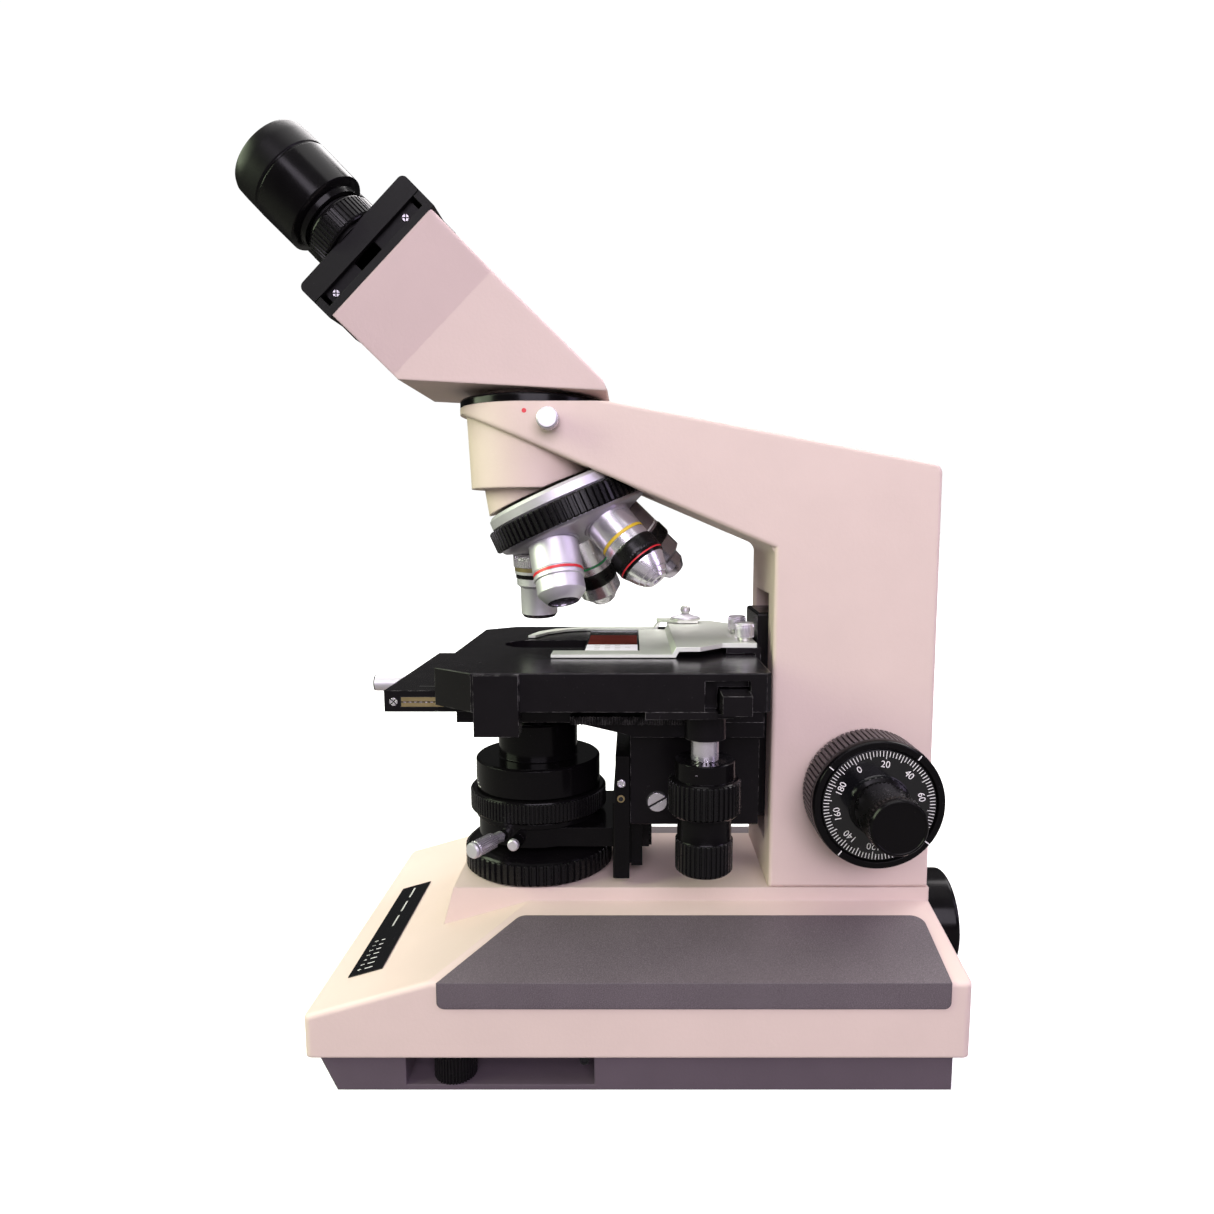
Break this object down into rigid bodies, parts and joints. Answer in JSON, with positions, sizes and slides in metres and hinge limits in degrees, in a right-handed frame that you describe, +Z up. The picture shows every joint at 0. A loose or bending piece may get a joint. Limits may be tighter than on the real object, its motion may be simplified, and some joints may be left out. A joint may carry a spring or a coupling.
{
  "type": "microscope",
  "caption": "Upright laboratory microscope with a tilted binocular head, rotating nosepiece, mechanical stage with specimen holder, condenser, coaxial focus knobs and a wedge base",
  "frame": {"origin": "on the table under the middle of the base", "axes": "+X to the user's right, +Y to the back where the arm stands, +Z up; the optical axis is at x 0, y -0.054"},
  "size_m": [0.1938, 0.3574, 0.4412],
  "materials": {
    "stand_paint": "fine orange-peel enamel",
    "head_paint": "fine orange-peel enamel",
    "tray_paint": "dark textured enamel",
    "rest_grip": "coarse matte grain",
    "feet_rubber": "matte",
    "steel_screw": "bright",
    "panel_black": "gloss",
    "electric_part": "matte",
    "wheel_black": "ribbed",
    "cap_black": "satin",
    "bulb_glass": "clear",
    "lens_glass": "coated",
    "mirror_face": "front-silvered",
    "black_anodised": "black anodised, satin",
    "stage_black": "hard matte black",
    "slide_steel": "ground",
    "shaft_steel": "ground",
    "knob_grey": "ribbed, moulded",
    "chrome_bright": "polished",
    "specimen_glass": "clear",
    "objective_barrel": "satin chrome",
    "objective_dark": "dark satin chrome",
    "eyepiece_black": "satin"
  },
  "bodies": {
    "stand": {"base_casting": "stand_paint", "base_tray": "tray_paint", "rubber_feet": "feet_rubber", "base_screws": "steel_screw", "hand_rest_right": "rest_grip", "hand_rest_left": "rest_grip", "front_panel": "panel_black", "dimmer_unit": "electric_part", "lamp_cap": "cap_black", "lamp_bulb": "bulb_glass", "collector_lens": "lens_glass", "fold_mirror": "mirror_face", "field_lens": "lens_glass", "power_inlet": "electric_part", "arm_casting": "stand_paint", "focus_rail": "slide_steel", "head_seat": "black_anodised"},
    "coarse": {"coarse_knob_right": "knob_grey", "coarse_knob_left": "knob_grey", "coarse_shaft": "shaft_steel"},
    "fine": {"fine_knob_right": "eyepiece_black", "fine_knob_left": "eyepiece_black", "fine_shaft": "shaft_steel"},
    "carrier": {"focus_slide": "stage_black", "stage_bracket": "stage_black", "stage_base_plate": "stage_black"},
    "stage": {"stage_plate": "stage_black", "drive_socket": "stage_black"},
    "y_drive": {"y_knob": "wheel_black"},
    "x_drive": {"x_knob": "wheel_black"},
    "carriage": {"x_carriage": "stage_black", "holder_plate": "stage_black", "holder_screws": "black_anodised", "specimen_slide": "specimen_glass"},
    "finger": {"holder_finger": "stage_black"},
    "condenser": {"condenser_mount": "stage_black", "condenser_barrel": "black_anodised", "condenser_lens": "lens_glass"},
    "aperture": {"aperture_ring": "black_anodised"},
    "centring_right": {"centering_screw_right": "chrome_bright"},
    "centring_left": {"centering_screw_left": "chrome_bright"},
    "clip": {"condenser_clamp": "chrome_bright"},
    "condenser_drive": {"condenser_knob": "wheel_black"},
    "field": {"field_ring": "black_anodised"},
    "dimmer": {"dimmer_wheel": "wheel_black"},
    "nosepiece": {"turret": "black_anodised", "objective_4": "objective_barrel", "objective_10": "objective_barrel", "objective_20": "objective_barrel", "objective_40": "objective_barrel", "objective_100": "objective_dark"},
    "head": {"head_housing": "head_paint", "head_frame": "black_anodised"},
    "head_lock": {"head_clamp": "chrome_bright"},
    "eye_right": {"tube_right": "black_anodised"},
    "eye_left": {"tube_left": "black_anodised"},
    "correction_right": {"diopter_right": "eyepiece_black"},
    "correction_left": {"diopter_left": "eyepiece_black"},
    "ocular_right": {"eyepiece_right": "eyepiece_black"},
    "ocular_left": {"eyepiece_left": "eyepiece_black"}
  },
  "joints": [
    {"name": "stage_focus", "type": "slide", "parent": "stand", "child": "carrier", "axis": [0, 0, 1], "range_m": [-0.003, 0.002]},
    {"name": "coarse_turn", "type": "hinge", "parent": "stand", "child": "coarse", "pos_m": [0, 0.1148, 0.1244], "axis": [1, 0, 0], "range_deg": [-21, 31]},
    {"name": "fine_turn", "type": "hinge", "parent": "stand", "child": "fine", "pos_m": [0, 0.1148, 0.1244], "axis": [1, 0, 0], "continuous": true},
    {"name": "stage_y", "type": "slide", "parent": "carrier", "child": "stage", "axis": [0, 1, 0], "range_m": [-0.047, 0]},
    {"name": "y_knob_turn", "type": "hinge", "parent": "stage", "child": "y_drive", "pos_m": [0.07, 0.0308, 0.135], "axis": [0, 0, 1], "range_deg": [-318, 1]},
    {"name": "stage_x", "type": "slide", "parent": "stage", "child": "carriage", "axis": [1, 0, 0], "range_m": [-0.025, 0.025]},
    {"name": "x_knob_turn", "type": "hinge", "parent": "stage", "child": "x_drive", "pos_m": [0.07, 0.0308, 0.105], "axis": [0, 0, 1], "range_deg": [-170, 170]},
    {"name": "finger_open", "type": "hinge", "parent": "carriage", "child": "finger", "pos_m": [-0.05, 0.029, 0.2], "axis": [0, 0, 1], "range_deg": [-18, 0], "stiffness_Nm_per_rad": 0.03, "springref_deg": 5.73},
    {"name": "condenser_height", "type": "slide", "parent": "carrier", "child": "condenser", "axis": [0, 0, 1], "range_m": [0, 0.019]},
    {"name": "condenser_knob_turn", "type": "hinge", "parent": "carrier", "child": "condenser_drive", "pos_m": [-0.04, 0.014, 0.128], "axis": [1, 0, 0], "range_deg": [-183, 1]},
    {"name": "aperture_turn", "type": "hinge", "parent": "condenser", "child": "aperture", "pos_m": [0, -0.054, 0.1108], "axis": [0, 0, 1], "range_deg": [-45, 45]},
    {"name": "centring_right_turn", "type": "hinge", "parent": "condenser", "child": "centring_right", "pos_m": [0, -0.054, 0.0965], "axis": [0.866, -0.5, 0], "range_deg": [-360, 360]},
    {"name": "centring_left_turn", "type": "hinge", "parent": "condenser", "child": "centring_left", "pos_m": [0, -0.054, 0.0965], "axis": [-0.866, -0.5, 0], "range_deg": [-360, 360]},
    {"name": "clip_turn", "type": "hinge", "parent": "condenser", "child": "clip", "pos_m": [0, -0.054, 0.0965], "axis": [0.9781, -0.2079, 0], "range_deg": [-360, 360]},
    {"name": "field_turn", "type": "hinge", "parent": "stand", "child": "field", "pos_m": [0, -0.054, 0.08], "axis": [0, 0, 1], "range_deg": [-60, 60]},
    {"name": "dimmer_turn", "type": "hinge", "parent": "stand", "child": "dimmer", "pos_m": [0.0824, -0.085, 0.01], "axis": [0, 0, 1], "range_deg": [-150, 150]},
    {"name": "turret_turn", "type": "hinge", "parent": "stand", "child": "nosepiece", "pos_m": [0, -0.054, 0.304], "axis": [0, 0.4067, -0.9135], "continuous": true},
    {"name": "head_turn", "type": "hinge", "parent": "stand", "child": "head", "pos_m": [0, -0.054, 0.32], "axis": [0, 0, 1], "continuous": true},
    {"name": "head_clamp_turn", "type": "hinge", "parent": "stand", "child": "head_lock", "pos_m": [0.04, -0.0424, 0.3065], "axis": [1, 0, 0], "range_deg": [-180, 180]},
    {"name": "ipd_right", "type": "slide", "parent": "head", "child": "eye_right", "axis": [1, 0, 0], "range_m": [-0.005, 0.005]},
    {"name": "ipd_left", "type": "slide", "parent": "head", "child": "eye_left", "axis": [1, 0, 0], "range_m": [-0.006, 0.006]},
    {"name": "diopter_right_turn", "type": "hinge", "parent": "eye_right", "child": "correction_right", "pos_m": [0.032, -0.13598, 0.39125], "axis": [0, -0.7071, 0.7071], "range_deg": [-90, 90]},
    {"name": "diopter_left_turn", "type": "hinge", "parent": "eye_left", "child": "correction_left", "pos_m": [-0.032, -0.13598, 0.39125], "axis": [0, -0.7071, 0.7071], "range_deg": [-90, 90]},
    {"name": "ocular_right_pull", "type": "slide", "parent": "eye_right", "child": "ocular_right", "axis": [0, -0.7071, 0.7071], "range_m": [0, 0.03]},
    {"name": "ocular_left_pull", "type": "slide", "parent": "eye_left", "child": "ocular_left", "axis": [0, -0.7071, 0.7071], "range_m": [0, 0.03]}
  ],
  "couplings": [
    {"joint": "coarse_turn", "follows": "stage_focus", "rad_per_m": -170.65},
    {"joint": "y_knob_turn", "follows": "stage_y", "rad_per_m": 117.65},
    {"joint": "x_knob_turn", "follows": "stage_x", "rad_per_m": -117.65},
    {"joint": "condenser_knob_turn", "follows": "condenser_height", "rad_per_m": -166.67},
    {"joint": "ipd_left", "follows": "ipd_right", "ratio": -1}
  ]
}
